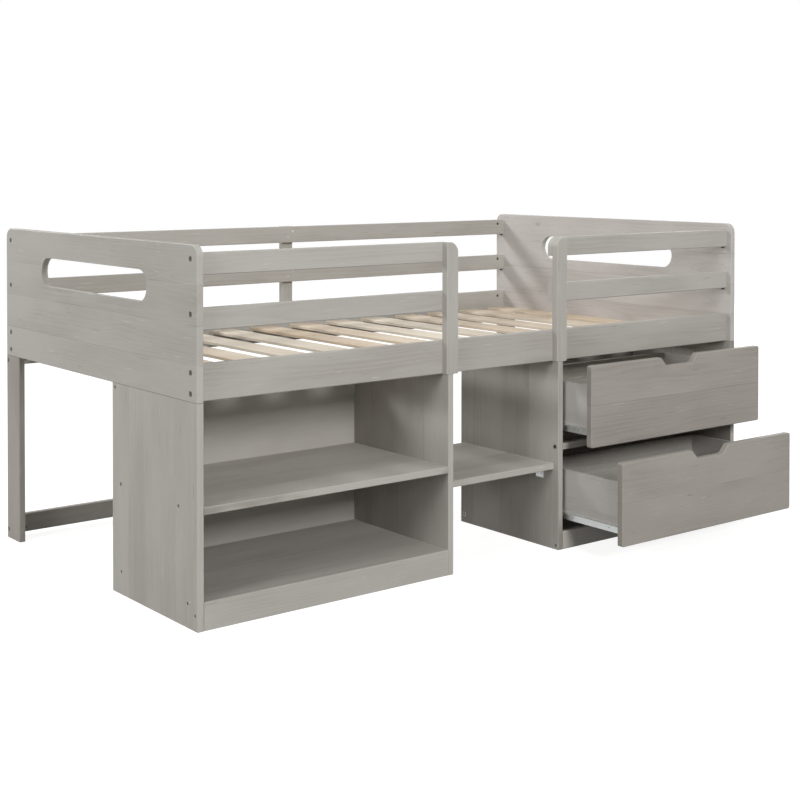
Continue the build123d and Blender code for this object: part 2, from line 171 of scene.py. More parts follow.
def growth_rings(tree, spot, ring):
    """The dark late wood of each year, from 0 to 1, and how far the nearest knot is."""
    knots = add(tree, "ShaderNodeVectorMath", spot["grain"], cells(*knot_spacing), operation="MULTIPLY")[0]
    knot = add(tree, "ShaderNodeTexVoronoi", named={"Vector": knots, "Scale": 1.0})["Distance"]
    reach = add(tree, "ShaderNodeMath", knot, knot_reach, operation="MULTIPLY")[0]
    reach = add(tree, "ShaderNodeMath", reach, 2.0, operation="POWER")[0]
    reach = add(tree, "ShaderNodeMath", 1.0, reach, operation="ADD")[0]
    swing = add(tree, "ShaderNodeMath", knot_swing, reach, operation="DIVIDE")[0]

    down = add(tree, "ShaderNodeMath", spot["shifted"], 1 / bow_length, operation="MULTIPLY")[0]
    aside = add(tree, "ShaderNodeMath", spot["side"], 1 / bow_width, operation="MULTIPLY")[0]
    where = add(tree, "ShaderNodeCombineXYZ", down, aside, spot["number"])[0]
    bow = add(tree, "ShaderNodeTexNoise", named={"Vector": where, "Scale": 1.0, "Detail": 2.0})[0]

    flat = add(tree, "ShaderNodeCombineXYZ", spot["side"], spot["deep"])[0]
    radius = add(tree, "ShaderNodeVectorMath", flat, operation="LENGTH")["Value"]
    radius = add(tree, "ShaderNodeMath", bow, bow_height, radius, operation="MULTIPLY_ADD")[0]
    radius = add(tree, "ShaderNodeMath", radius, swing, operation="ADD")[0]

    growth = add(tree, "ShaderNodeMath", radius, 1 / years_spacing, operation="MULTIPLY")[0]
    where = add(tree, "ShaderNodeCombineXYZ", growth, spot["number"], spot["layer"])[0]
    years = add(tree, "ShaderNodeTexNoise", named={"Vector": where, "Scale": 1.0, "Detail": 1.0})[0]
    radius = add(tree, "ShaderNodeMath", years, years_stretch, radius, operation="MULTIPLY_ADD")[0]

    # the tone deepens slowly through the year and falls back at once
    turns = add(tree, "ShaderNodeMath", radius, ring, operation="DIVIDE")[0]
    year = add(tree, "ShaderNodeMath", turns, operation="FRACT")[0]
    rise = add(tree, "ShaderNodeMapRange", year, 0.25, 0.95, 0.0, 1.0, interpolation_type="SMOOTHSTEP")[0]
    fall = add(tree, "ShaderNodeMapRange", year, 0.95, 1.0, 1.0, 0.0, interpolation_type="SMOOTHSTEP")[0]
    late = add(tree, "ShaderNodeMath", rise, fall, operation="MULTIPLY")[0]
    return late, knot


print("a knot about every", round(knot_spacing[0] / mm), "mm along the grain")

# %% [markdown]
# ## Pine, last the wash
# The bed is painted with a thin wash, which sinks in unevenly: more in the soft spring wood, less on the hard lines.
# It leaves broad soft blotches, fine fibres, and short light and dark flecks where the brush dragged.
# Each of them is a noise stretched along the grain, and a table holds their real sizes.
# The surface is a flat shade between two tones, and then one mark after another is laid over it, as a painter would:
# flecks, knots, the hairline between two planks, and the shadow line where the bed frame sits on what carries it.
# Real fibres are finer than the picture can show, so they are drawn 1.6 mm wide, the finest that still reads.

# %% The pine material
# each noise: its length along the grain, its width across it, its detail, and how far aside it starts in cells
clouds = {
    "blotch": (384.6 * mm, 111.1 * mm, 3.0, 0.0),
    "fibre": (111.1 * mm, 1.613 * mm, 3.0, 0.0),
    "light_fleck": (66.67 * mm, 3.571 * mm, 1.0, 0.0),
    "dark_fleck": (76.92 * mm, 3.571 * mm, 1.0, 7.0),
}
shadow_line = "#4c4640"
# how far each pattern shifts the shade, and how strongly each mark covers it
ring_shade, fibre_shade, blotch_shade, tone_shade = 0.28, 0.2, 1.2, 0.35
light_cover, dark_cover, knot_cover, glue_cover, joint_cover = 0.7, 0.45, 0.5, 0.6, 0.65


def wash_clouds(tree, grain):
    """The four noises of the wash, stretched along the grain."""
    made = {}
    for name, (length, width, detail, start) in clouds.items():
        stretch, offset = cells(length, width), (0.0, start, 0.0)
        where = add(tree, "ShaderNodeVectorMath", grain, stretch, offset, operation="MULTIPLY_ADD")[0]
        cloud = {"Vector": where, "Scale": 1.0, "Detail": detail}
        made[name] = add(tree, "ShaderNodeTexNoise", named=cloud)[0]
    return made


def shade_of(tree, late, cloud, tone, rings, tones):
    """How deep the wash is, 0 for the light tone and 1 for the dark one."""
    veil = add(tree, "ShaderNodeMapRange", cloud["blotch"], 0.35, 0.65, 0.0, ring_shade * rings,
               interpolation_type="SMOOTHSTEP")[0]
    fine = add(tree, "ShaderNodeMapRange", cloud["fibre"], 0.3, 0.75, 0.0, fibre_shade,
               interpolation_type="SMOOTHSTEP")[0]
    shade = add(tree, "ShaderNodeMath", late, veil, fine, operation="MULTIPLY_ADD")[0]
    for pattern, middle_value, amount in (
        (cloud["blotch"], 0.4, blotch_shade),
        (tone, 0.5, tone_shade * tones),
    ):
        off = add(tree, "ShaderNodeMath", pattern, middle_value, operation="SUBTRACT")[0]
        shade = add(tree, "ShaderNodeMath", off, amount, shade, operation="MULTIPLY_ADD")[0]
    return shade


def pine(name, along, across, palette, plank=None, seam=0.0, joint=None,
         ring=6 * mm, rings=1.0, knots=1.0, flecks=1.0, tones=1.0):
    """Solid pine with its grain along one axis and its planks side by side along another."""
    made, tree, shader = new_material(name)
    light, dark, knot_tone, fleck_light, fleck_dark = (colour(code) for code in palette)
    spot = plank_place(tree, along, across, plank or 130 * mm, seam)
    late, knot = growth_rings(tree, spot, ring)
    cloud = wash_clouds(tree, spot["grain"])

    # each mark: the pattern, where it starts and ends, how strong it is there, and its colour
    marks = [
        (cloud["light_fleck"], 0.7, 0.8, 0.0, light_cover * flecks, fleck_light),
        (cloud["dark_fleck"], 0.71, 0.8, 0.0, dark_cover * flecks, fleck_dark),
        (knot, 0.015, 0.07, knot_cover * knots, 0.0, knot_tone),
    ]
    if plank:
        # the glue line opens only here and there
        open_part = add(tree, "ShaderNodeMapRange", cloud["blotch"], 0.44, 0.6, 0.0, glue_cover,
                        interpolation_type="SMOOTHSTEP")[0]
        marks.append((spot["edge"], 0.3 * mm, 1.2 * mm, open_part, 0.0, fleck_dark))
    if joint is not None:
        rise = add(tree, "ShaderNodeMath", spot["height"], joint, operation="SUBTRACT")[0]
        gap = add(tree, "ShaderNodeMath", rise, operation="ABSOLUTE")[0]
        marks.append((gap, 0.4 * mm, 1.3 * mm, joint_cover, 0.0, colour(shadow_line)))

    shade = shade_of(tree, late, cloud, spot["tone"], rings, tones)
    body = add(tree, "ShaderNodeMix", named={0: shade, 6: light, 7: dark}, data_type="RGBA")[2]
    for *span, tint in marks:
        amount = add(tree, "ShaderNodeMapRange", *span, interpolation_type="SMOOTHSTEP")[0]
        body = add(tree, "ShaderNodeMix", named={0: amount, 6: body, 7: tint}, data_type="RGBA")[2]

    # half matt, a little rougher along the fibres, with the late wood lying a hair lower
    rough = add(tree, "ShaderNodeMath", cloud["fibre"], 0.16, 0.52, operation="MULTIPLY_ADD")[0]
    high = add(tree, "ShaderNodeMath", cloud["fibre"], 0.6, operation="MULTIPLY")[0]
    low = add(tree, "ShaderNodeMath", late, 0.4 * rings, operation="MULTIPLY")[0]
    relief = add(tree, "ShaderNodeMath", high, low, operation="SUBTRACT")[0]
    bump = add(tree, "ShaderNodeBump", named={"Strength": 0.35, "Distance": 0.25 * mm, "Height": relief})[0]
    fill(shader, {"Base Color": body, "Roughness": rough, "Normal": bump, "IOR": 1.46})
    return made


print(len(clouds), "noises in the wash")

# %% [markdown]
# ## The washes
# The wood carries a thin warm grey wash that lets the figure through only faintly.
# Drawer fronts and back legs are darker, right end panel and drawer sides paler; on the legs that is painted shade,
# on the right panel painted light.
# Each wash has a light and a dark tone, one for knots, and a light and a dark for the flecks.
# The seams of the glued planks are placed where they show on the panels and case sides,
# and a thin shadow line marks where the bed frame sits on the cases and legs.
# A board is cut with its grain along its length, so each direction is a material of its own.
# Turning one material with a Mapping node would save a few, but would hide which way each piece is cut.

# %% Grey-washed pine in each direction of grain
wash = ("#aca9a3", "#96918a", "#827970", "#c3c0b9", "#6c655d")
# a darker and a paler palette of the same wash: the darker one is painted shade on the back legs, the paler one
# painted light on the right end panel
darker_palette = ("#9a958e", "#847e77", "#756d65", "#b2ada6", "#625b54")
paler_palette = ("#bab6b2", "#a49f9a", "#8d847b", "#cdcac5", "#7a736b")
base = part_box("left_end_panel")[0].z
panel = {"plank": 94.5 * mm, "seam": 0.621, "joint": base}
bookcase_planks = {"plank": 116 * mm, "seam": -0.326, "joint": base}
chest_planks = {"plank": 119.5 * mm, "seam": -0.309, "joint": base}
# sheet has a broad quiet figure and no knots
sheet_figure = {"ring": 11 * mm, "rings": 0.5, "knots": 0.0, "flecks": 0.4}

finishes = {
    # washed solid pine, planed and brushed: soft grey, with a faint warm figure along each piece
    "rail": pine("washed_pine_rail", "X", "Z", wash),
    "post": pine("washed_pine_post", "Z", "X", wash),
    "shelf": pine("washed_pine_shelf", "X", "Y", wash, plank=105 * mm, seam=-0.3235),
    "end": pine("washed_pine_end_panel", "Y", "Z", wash, **panel),
    "bookcase": pine("washed_pine_bookcase_side", "Z", "Y", wash, **bookcase_planks),
    "chest": pine("washed_pine_chest_side", "Z", "Y", wash, **chest_planks),
    # the same pine in a darker palette, so that fronts and legs stand darker than the frame; on the legs it is
    # painted shade
    "front": pine("washed_pine_drawer_front", "X", "Z", darker_palette, plank=125 * mm, seam=0.171),
    "leg": pine("washed_pine_leg_painted_shade", "Z", "Y", darker_palette, joint=base),
    # and in a paler palette; on the right end panel it is painted light, for its brightly lit inner face
    "right_end": pine("washed_pine_end_panel_painted_light", "Y", "Z", paler_palette, **panel),
    "drawer_side": pine("pale_washed_pine_drawer_side", "Y", "Z", paler_palette),
    # thin washed plywood of the backs and drawer bottoms: peeled from the log, so it looks calm and flat
    "board": pine("washed_thin_board", "X", "Z", wash, **sheet_figure),
    "bottom": pine("washed_drawer_bottom", "X", "Y", wash, **sheet_figure),
}
print(len(finishes), "washed finishes, shadow line at", round(base, 3), "m")

# %% [markdown]
# ## Bare slats
# The slats are left as sawn, warm yellow-brown pine beside the grey frame, and no two are quite alike.
# They lie at an even pitch, so a plank as wide as that pitch gives every slat a tone of its own.
# Colouring each slat by hand would need a material for each, and they are one piece here.

# %% Bare pine of the slats
slat_colours = ("#dfd4c3", "#ccb69b", "#9b7656", "#e8dfd0", "#a98a69")
slat_pitch = 150.4 * mm
slat_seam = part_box("bed_slats")[0].x - 33 * mm
finishes["slat"] = pine("bare_pine_slat", "Y", "X", slat_colours, plank=slat_pitch, seam=slat_seam, tones=2.2)
print("a slat every", round(slat_pitch / mm, 1), "mm")

# %% [markdown]
# ## Metal and nylon
# The runners and brackets are pressed steel with bright zinc plate, which catches the light as a thin pale line.
# The case screws have a duller plate, and the bed bolts and cross nuts are blackened. The rollers are moulded nylon.
# On all of them a fine cloud changes the colour, the roughness and the surface together,
# because plate and moulded plastic are never quite even. A polished mirror finish would look like chrome.
# Zinc also reads a value called recess from the screw heads, and there, in the driver's cut, it is painted dark as
# painted shade.


# %% Zinc plate, dark steel and nylon
def clouded(name, low, high, cloud_size, detail, roughness, bump=0.0, recess=None, **fixed):
    """A smooth finish with a faint cloud between two tones; roughness is its range in the same cloud."""
    made, tree, shader = new_material(name)
    place = add(tree, "ShaderNodeTexCoord")["Object"]
    grain = {"Vector": place, "Scale": 1 / cloud_size, "Detail": detail}
    cloud = add(tree, "ShaderNodeTexNoise", named=grain)[0]
    body = add(tree, "ShaderNodeMix", named={0: cloud, 6: colour(low), 7: colour(high)}, data_type="RGBA")[2]
    # painted shade: the driver's cut of a screw head is coloured dark where the recess value is set
    if recess:
        cut = add(tree, "ShaderNodeAttribute", attribute_name="recess")["Fac"]
        body = add(tree, "ShaderNodeMix", named={0: cut, 6: body, 7: colour(recess)}, data_type="RGBA")[2]
    rough = add(tree, "ShaderNodeMapRange", named={0: cloud, 3: roughness[0], 4: roughness[1]})[0]
    fill(shader, {"Base Color": body, "Roughness": rough, **fixed})
    if bump:
        relief = {"Strength": bump, "Distance": 0.05 * mm, "Height": cloud}
        fill(shader, {"Normal": add(tree, "ShaderNodeBump", named=relief)[0]})
    return made


# the plate's recess colour is the painted shade in the driver's cut
plate = {"cloud_size": 5.556 * mm, "detail": 3.0, "roughness": (0.28, 0.46), "bump": 0.2, "recess": "#3a3836"}
black = {"cloud_size": 2.381 * mm, "detail": 4.0, "roughness": (0.35, 0.6), "bump": 0.3}
moulding = {"cloud_size": 3.846 * mm, "detail": 3.0, "roughness": (0.34, 0.5)}
# zinc plate on pressed steel: smooth and cool, it shines softly and shows a faint cloud in its shine
finishes["zinc"] = clouded("zinc_plated_steel", "#c3c7c6", "#e0e3e2", Metallic=1.0, **plate)
# the same plate gone dull on the case screws, so they read as small grey dots
finishes["screw"] = clouded("dulled_zinc_screw", "#7f7d79", "#b3b1ac", Metallic=1.0, **plate)
# blackened steel of the bed bolts and cross nuts: dark, half matt, lighter where it was handled
finishes["dark"] = clouded("blackened_steel", "#2f2d2b", "#6a6763", Metallic=1.0, **black)
# white moulded nylon of the rollers: half matt, slightly grey where it has run
finishes["nylon"] = clouded("moulded_nylon", "#ecebe6", "#d3d1ca", IOR=1.53, **moulding)
print(len(finishes), "finishes in all")

# %% [markdown]
# ## Which piece gets which finish
# A board is cut with its grain along its length, so each kind of piece has its own direction:
# rails and fronts along the bed, end panels and drawer sides from front to back, posts, legs and sides upright.
# The thin backs and bottoms are sheet, and the slats are left bare.
# One finish for all would be shorter, but its grain would run across the posts and legs.

# %% Dress the frame
finish_rules = (
    (("rollers",), "nylon"),
    (("bolts",), "dark"),
    (("channels", "angles", "brackets"), "zinc"),
    (("slats",), "slat"),
    (("right_end_panel",), "right_end"),
    (("end_panel",), "end"),
    (("drawer_front",), "front"),
    (("drawer_left_side", "drawer_right_side"), "drawer_side"),
    (("drawer_bottom",), "bottom"),
    (("bookcase_left_side", "bookcase_right_side"), "bookcase"),
    (("chest_left_side", "chest_right_side"), "chest"),
    (("bookcase_back", "chest_back"), "board"),
    (("post",), "post"),
    (("leg",), "leg"),
    (("shelf", "floor"), "shelf"),
)


def finish_of(node):
    """The finish of a piece: the first rule with a word from its name, and else the rails' finish."""
    for words, finish in finish_rules:
        if any(word in node for word in words):
            return finish
    return "rail"


for name, piece in nodes.items():
    piece.data.materials.clear()
    piece.data.materials.append(finishes[finish_of(name)])
print({finish: sum(finish_of(name) == finish for name in nodes) for finish in finishes})

# %% [markdown]
# ## Screws, nuts and pins
# The cases are held by countersunk screws through their sides, the runners and brackets by small flat screws,
# and each bed bolt ends in a cross nut that sits flush in the rail and has a slot to line it up.
# They are the same form at different sizes, a low head with a recess, and only that form is drawn, once.
# Geometry Nodes is the right tool: one tree draws a head from a few named sizes and stands a copy on every point,
# each turned by chance as a driver leaves it. Modelling every head by hand would only repeat it.
# The head starts as a flat cone. Its top face is extruded three times: up into a crown, level to mark the recess,
# and down into it. A cosine draws the recess's edge in between its lobes: four for a cross, two for a slot.

# %% The form of a head
sizes_of_head = ("Head radius", "Head height", "Recess radius", "Recess depth", "Lobes", "Pinch", "Sharpness")
head_sides = 24
sunk = 1 * mm
wall_share, wall_taper, crown_share = 0.6, 0.95, 0.78


def draw_head(tree, given):
    """One head that faces up, with its foot sunk into what it holds, and its recess marked for the finish's painted
    shade.
    """
    place = add(tree, "ShaderNodeSeparateXYZ", add(tree, "GeometryNodeInputPosition")[0])
    angle = add(tree, "ShaderNodeMath", place[1], place[0], operation="ARCTAN2")[0]
    cosine = add(tree, "ShaderNodeMath", angle, operation="COSINE")[0]
    sine = add(tree, "ShaderNodeMath", angle, operation="SINE")[0]

    lobes = add(tree, "ShaderNodeMath", given["Lobes"], 0.5, operation="MULTIPLY")[0]
    wave = add(tree, "ShaderNodeMath", angle, lobes, operation="MULTIPLY")[0]
    wave = add(tree, "ShaderNodeMath", wave, operation="COSINE")[0]
    wave = add(tree, "ShaderNodeMath", wave, operation="ABSOLUTE")[0]
    wave = add(tree, "ShaderNodeMath", wave, given["Sharpness"], operation="POWER")[0]
    star = add(tree, "ShaderNodeMapRange", wave, 0.0, 1.0, given["Pinch"], 1.0)[0]

    wall = add(tree, "ShaderNodeMath", given["Head height"], wall_share, sunk, operation="MULTIPLY_ADD")[0]
    neck = add(tree, "ShaderNodeMath", given["Head radius"], wall_taper, operation="MULTIPLY")[0]
    cone = add(tree, "GeometryNodeMeshCone", named={
        "Vertices": head_sides, "Radius Top": neck, "Radius Bottom": given["Head radius"], "Depth": wall})
    crown = add(tree, "ShaderNodeMath", given["Head height"], 1 - wall_share, operation="MULTIPLY")[0]
    crown_edge = add(tree, "ShaderNodeMath", given["Head radius"], crown_share, operation="MULTIPLY")[0]
    mouth = add(tree, "ShaderNodeMath", given["Recess radius"], star, operation="MULTIPLY")[0]
    pit = add(tree, "ShaderNodeMath", given["Recess depth"], -1.0, operation="MULTIPLY")[0]

    mesh, top = cone["Mesh"], cone["Top"]
    for lift, radius in ((crown, crown_edge), (0.0, mouth), (pit, None)):
        face = {"Mesh": mesh, "Selection": top, "Offset Scale": lift, "Individual": False}
        grown = add(tree, "GeometryNodeExtrudeMesh", named=face, mode="FACES")
        mesh, top = grown["Mesh"], grown["Top"]
        if radius is not None:
            x = add(tree, "ShaderNodeMath", radius, cosine, operation="MULTIPLY")[0]
            y = add(tree, "ShaderNodeMath", radius, sine, operation="MULTIPLY")[0]
            ring = {"Selection": top, "Position": add(tree, "ShaderNodeCombineXYZ", x, y, place[2])[0]}
            mesh = add(tree, "GeometryNodeSetPosition", mesh, named=ring)[0]

    # the faces of the recess are marked, so that the finish paints shade in them
    inside = add(tree, "FunctionNodeBooleanMath", grown["Top"], grown["Side"], operation="OR")[0]
    marked = add(tree, "GeometryNodeStoreNamedAttribute", mesh, named={"Name": "recess", "Value": inside},
                 data_type="FLOAT", domain="FACE")[0]
    return add(tree, "GeometryNodeTransform", marked, named={"Translation": (0, 0, -sunk)})[0]


print(len(sizes_of_head), "sizes describe a head")

# %% [markdown]
# ## A head on every point
# Each point carries the direction that its head faces. The head is turned to it, then spun by chance about its own
# axis, with a fixed seed so that every run is the same. The tree ends by making the copies real and giving them
# their finish, because copies that are only instances would be lost when the model is exported.

# %% One tree for every head
spin_seed = 7


def fastener_tree():
    """Draws one head with a recess, and stands it on each point, facing where the point says."""
    tree = bpy.data.node_groups.new("fastener", "GeometryNodeTree")
    tree.interface.new_socket("Points", in_out="INPUT", socket_type="NodeSocketGeometry")
    for name in sizes_of_head:
        tree.interface.new_socket(name, in_out="INPUT", socket_type="NodeSocketFloat")
    tree.interface.new_socket("Material", in_out="INPUT", socket_type="NodeSocketMaterial")
    tree.interface.new_socket("Heads", in_out="OUTPUT", socket_type="NodeSocketGeometry")
    given = add(tree, "NodeGroupInput")
    head = draw_head(tree, given)

    facing = add(tree, "GeometryNodeInputNamedAttribute", "facing", data_type="FLOAT_VECTOR")[0]
    upright = add(tree, "FunctionNodeAlignRotationToVector", named={"Vector": facing}, axis="Z")[0]
    full_turn = {2: 0.0, 3: math.tau, 8: spin_seed}
    chance = add(tree, "FunctionNodeRandomValue", named=full_turn, data_type="FLOAT")[1]
    spin = add(tree, "FunctionNodeEulerToRotation", add(tree, "ShaderNodeCombineXYZ", 0.0, 0.0, chance)[0])[0]
    turned = add(tree, "FunctionNodeRotateRotation", upright, spin, rotation_space="LOCAL")[0]

    stand = {"Points": given["Points"], "Instance": head, "Rotation": turned}
    copies = add(tree, "GeometryNodeInstanceOnPoints", named=stand)[0]
    real = add(tree, "GeometryNodeRealizeInstances", copies)[0]
    dressed = add(tree, "GeometryNodeSetMaterial", real, named={"Material": given["Material"]})[0]
    add(tree, "NodeGroupOutput", dressed)
    return tree


heads = fastener_tree()
print(len(heads.nodes), "nodes draw every head")

# %% [markdown]
# ## From places to one plain mesh
# A kind of head is given its places as pairs of a point and a direction. They become a mesh of bare points,
# the tree runs on it as a modifier, and the result is kept as a plain mesh that rides on one body.


# %% Put heads on their places
def fasteners(name, body, finish, sizes, places):
    """Stands one kind of head on places given as (point, direction), and makes one mesh of them."""
    points = bpy.data.meshes.new(name)
    points.from_pydata([place for place, direction in places], [], [])
    facing = points.attributes.new("facing", "FLOAT_VECTOR", "POINT")
    for item, (place, direction) in zip(facing.data, places):
        item.vector = direction
    piece = bpy.data.objects.new(name, points)
    bpy.context.scene.collection.objects.link(piece)
    modifier = piece.modifiers.new("fastener", "NODES")
    modifier.node_group = heads
    given = dict(zip(sizes_of_head, sizes), Material=finishes[finish])
    for item in heads.interface.items_tree:
        if item.in_out == "INPUT" and item.name in given:
            modifier[item.identifier] = given[item.name]
    graph = bpy.context.evaluated_depsgraph_get()
    done = piece.evaluated_get(graph)
    made = bpy.data.meshes.new_from_object(done, preserve_all_data_layers=True, depsgraph=graph)
    piece.modifiers.clear()
    piece.data = made
    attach(piece, body)
    print(name, len(places), "heads,", len(made.polygons), "faces")


# radius, height, recess radius, recess depth, lobes, pinch and sharpness
cross_head = (7.0 * mm, 0.7 * mm, 5.4 * mm, 0.6 * mm, 4.0, 0.45, 2.0)
flat_head = (3.4 * mm, 0.5 * mm, 2.2 * mm, 0.4 * mm, 4.0, 0.35, 3.0)
slotted_nut = (5.0 * mm, 0.3 * mm, 4.2 * mm, 0.25 * mm, 2.0, 0.2, 1.0)
plain_pin = (2.5 * mm, 9.0 * mm, 1.2 * mm, 0.6 * mm, 6.0, 0.87, 1.0)
left_x, right_x = (-1, 0, 0), (1, 0, 0)
front_y, back_y = (0, -1, 0), (0, 1, 0)
up_z, down_z = (0, 0, 1), (0, 0, -1)


def middle(node):
    """Middle of a piece's box."""
    low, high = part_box(node)
    return (low + high) / 2


# %% [markdown]
# ## Screws in the sides of the cases
# Shelf, floor, plinth and stays are screwed through the sides into their ends, so their screws show outside
# as small grey discs. Each place is measured from the front or back edge of the case, at the height of its board.
# Both sides of a case have the same places, so one loop sets them on both.

# %% Screws in the sides of the two cases
case_front, bookcase_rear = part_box("bookcase_left_side")[0].y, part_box("bookcase_left_side")[1].y
shelf_z, floor_z = middle("bookcase_shelf").z, middle("bookcase_floor").z
bookcase_spots = [
    (middle("bookcase_stay").y, base - 11 * mm),
    (bookcase_rear - 45 * mm, shelf_z),
    (case_front + 87 * mm, shelf_z),
    (bookcase_rear - 47 * mm, floor_z),
    (case_front + 43 * mm, floor_z),
    (middle("bookcase_plinth").y, 38 * mm),
]
chest_spots = [
    (case_front + 14 * mm, middle("chest_rail").z),
    (middle("chest_plinth").y, 12 * mm),
    (middle("chest_upper_stay").y, base - 16 * mm),
    (middle("chest_lower_stay").y, 25 * mm),
]
case_spots = []
for case, spots in (("bookcase", bookcase_spots), ("chest", chest_spots)):
    outer_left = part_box(f"{case}_left_side")[0].x
    outer_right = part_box(f"{case}_right_side")[1].x
    case_spots += [((outer_left, y, z), left_x) for y, z in spots]
    case_spots += [((outer_right, y, z), right_x) for y, z in spots]
fasteners("case_screws", "bed", "screw", cross_head, case_spots)

# %% [markdown]
# ## Cross nuts and rest pins of the rails
# A bed bolt pulls its rail tight through a cross nut, a short steel barrel let into the rail's inner face.
# Under each end of a guard rail a small steel pin stands out of the end panel, on which the rail rests
# until its bolt is in. Both lie at the heights of the bolts and rails, so they are worked out from the rails' boxes.

# %% Cross nuts
rail_edge, board_edge = 14 * mm, 19 * mm
nut_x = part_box("front_side_board")[1].x - 31 * mm
board_low, board_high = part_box("front_side_board")
rail_tops = [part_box(f"back_{level}_rail")[1].z for level in ("top", "mid")]
nut_levels = [top - rail_edge for top in rail_tops] + [board_high.z - board_edge, board_low.z + board_edge]
leg_rail_levels = (middle("back_upper_rail").z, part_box("back_stretcher")[0].z + rail_edge)
nut_rows = (
    (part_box("front_side_board")[1].y, back_y, nut_levels),
    (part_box("back_side_board")[0].y, front_y, nut_levels),
    (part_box("back_stretcher")[0].y, front_y, leg_rail_levels),
)
nut_spots = [((x, y, z), facing) for y, facing, levels in nut_rows for x in (-nut_x, nut_x) for z in levels]
fasteners("cross_nuts", "bed", "dark", slotted_nut, nut_spots)

# %% Rest pins
pin_spots = []
for rail in ("front_left", "front_right", "back"):
    for level in ("top", "mid"):
        low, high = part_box(f"{rail}_{level}_rail")
        y, z = (low.y + high.y) / 2, low.z - plain_pin[0]
        if rail != "front_right":
            pin_spots.append(((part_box("left_end_panel")[1].x, y, z), right_x))
        if rail != "front_left":
            pin_spots.append(((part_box("right_end_panel")[0].x, y, z), left_x))
fasteners("rest_pins", "bed", "dark", plain_pin, pin_spots)

# %% [markdown]
# ## Small flat screws on the bed
# The runners, brackets, slats and guard posts are held by small screws with flat heads.
# Each group is worked out from the box of what it holds: the metal is screwed near its ends and in its middle,
# a slat once on each cleat, and a post twice on every board it crosses. They all ride on the bed, so they are
# gathered in one list and made as one mesh.

# %% Places on the runners and brackets
runner_sheet, bracket_plate = 1.2 * mm, 2 * mm
runner_end = 50 * mm
bracket_half_width, bracket_hole_half_step = 15 * mm, 8 * mm
bracket_foot_hole, bracket_arm_hole = 11 * mm, 19 * mm

flat_spots = []
for level in ("upper", "lower"):
    low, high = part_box(f"{level}_chest_channels")
    z = (low.z + high.z) / 2
    for y in (low.y + runner_end, (low.y + high.y) / 2, high.y - runner_end):
        flat_spots.append(((low.x + runner_sheet, y, z), right_x))
        flat_spots.append(((high.x - runner_sheet, y, z), left_x))

low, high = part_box("shelf_brackets")
wall_z, board_z = low.z + bracket_foot_hole, high.z - bracket_plate
for centre in (low.y + bracket_half_width, high.y - bracket_half_width):
    for y in (centre - bracket_hole_half_step, centre + bracket_hole_half_step):
        flat_spots.append(((low.x + bracket_plate, y, wall_z), right_x))
        flat_spots.append(((high.x - bracket_plate, y, wall_z), left_x))
        flat_spots.append(((low.x + bracket_arm_hole, y, board_z), down_z))
        flat_spots.append(((high.x - bracket_arm_hole, y, board_z), down_z))
print(len(flat_spots), "screws in metal")

# %% Places on the slats
slat_half_width = 42 * mm
cleat_margin = 12 * mm
slat_low, slat_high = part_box("bed_slats")
cleat_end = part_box("front_slat_cleat")[1].x
slats = round((slat_high.x - slat_low.x - 2 * slat_half_width) / slat_pitch) + 1
for number in range(slats):
    x = min(slat_low.x + slat_half_width + number * slat_pitch, cleat_end - cleat_margin)
    for cleat in ("front_slat_cleat", "back_slat_cleat"):
        flat_spots.append(((x, middle(cleat).y, slat_high.z), up_z))
print(slats, "slats")

# %% Places on the guard posts, and all of them made
post_half_step = 10 * mm
posts = (
    ("front_left_guard_post", ("front_left_top_rail", "front_left_mid_rail", "front_side_board"), back_y),
    ("front_right_guard_post", ("front_right_top_rail", "front_right_mid_rail", "front_side_board"), back_y),
    ("back_guard_post", ("back_top_rail", "back_mid_rail", "back_side_board"), front_y),
)
for post, boards, direction in posts:
    for board in boards:
        low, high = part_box(board)
        face = high.y if direction == back_y else low.y
        for step in (-post_half_step, post_half_step):
            flat_spots.append(((middle(post).x + step, face, (low.z + high.z) / 2 + step), direction))
fasteners("flat_screws", "bed", "zinc", flat_head, flat_spots)

# %% [markdown]
# ## Small flat screws on the drawers
# The angles of the runners are screwed to the drawer sides, three screws each, and move with their drawer.
# So these are a mesh of their own on each drawer. On the bed's mesh they would stay behind when a drawer opens.

# %% Screws of the drawer angles
angle_front, angle_rear, angle_hole = 40 * mm, 70 * mm, 10 * mm
for level in ("upper", "lower"):
    low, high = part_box(f"{level}_drawer_angles")
    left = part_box(f"{level}_drawer_left_side")[0].x - runner_sheet
    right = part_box(f"{level}_drawer_right_side")[1].x + runner_sheet
    sides = ((left, left_x), (right, right_x))
    rows = (low.y + angle_front, (low.y + high.y) / 2, high.y - angle_rear)
    spots = [((x, y, low.z + angle_hole), facing) for x, facing in sides for y in rows]
    fasteners(f"{level}_drawer_screws", f"{level}_drawer", "zinc", flat_head, spots)

# %% [markdown]
# ## Studio floor
# The bed stands in a white studio, so floor and sky run into each other with no line between them.
# A floor painted pure white would throw so much light back that every underside went pale.
# So the floor is a middling grey to the light, and only where it is looked at, straight or in a reflection,
# does it also glow to near white. The soft shadow of the bed still shows on it.
# Inside the chest the floor lies in the dark, so there the glow is off.

# %% A floor that reads white
floor_half = 14.0
floor_glow = 0.87
white = (1.0, 1.0, 1.0, 1.0)


def inside_chest(tree):
    """1 on the floor inside the chest's outline, and 0 elsewhere."""
    low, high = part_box("chest_plinth")[0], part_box("chest_back")[1]
    centre, half = (low + high) / 2, (high - low) / 2
    axis = add(tree, "ShaderNodeSeparateXYZ", add(tree, "ShaderNodeTexCoord")["Object"])
    across = add(tree, "ShaderNodeMath", axis["X"], centre.x, half.x, operation="COMPARE")[0]
    along = add(tree, "ShaderNodeMath", axis["Y"], centre.y, half.y, operation="COMPARE")[0]
    return add(tree, "ShaderNodeMath", across, along, operation="MINIMUM")[0]


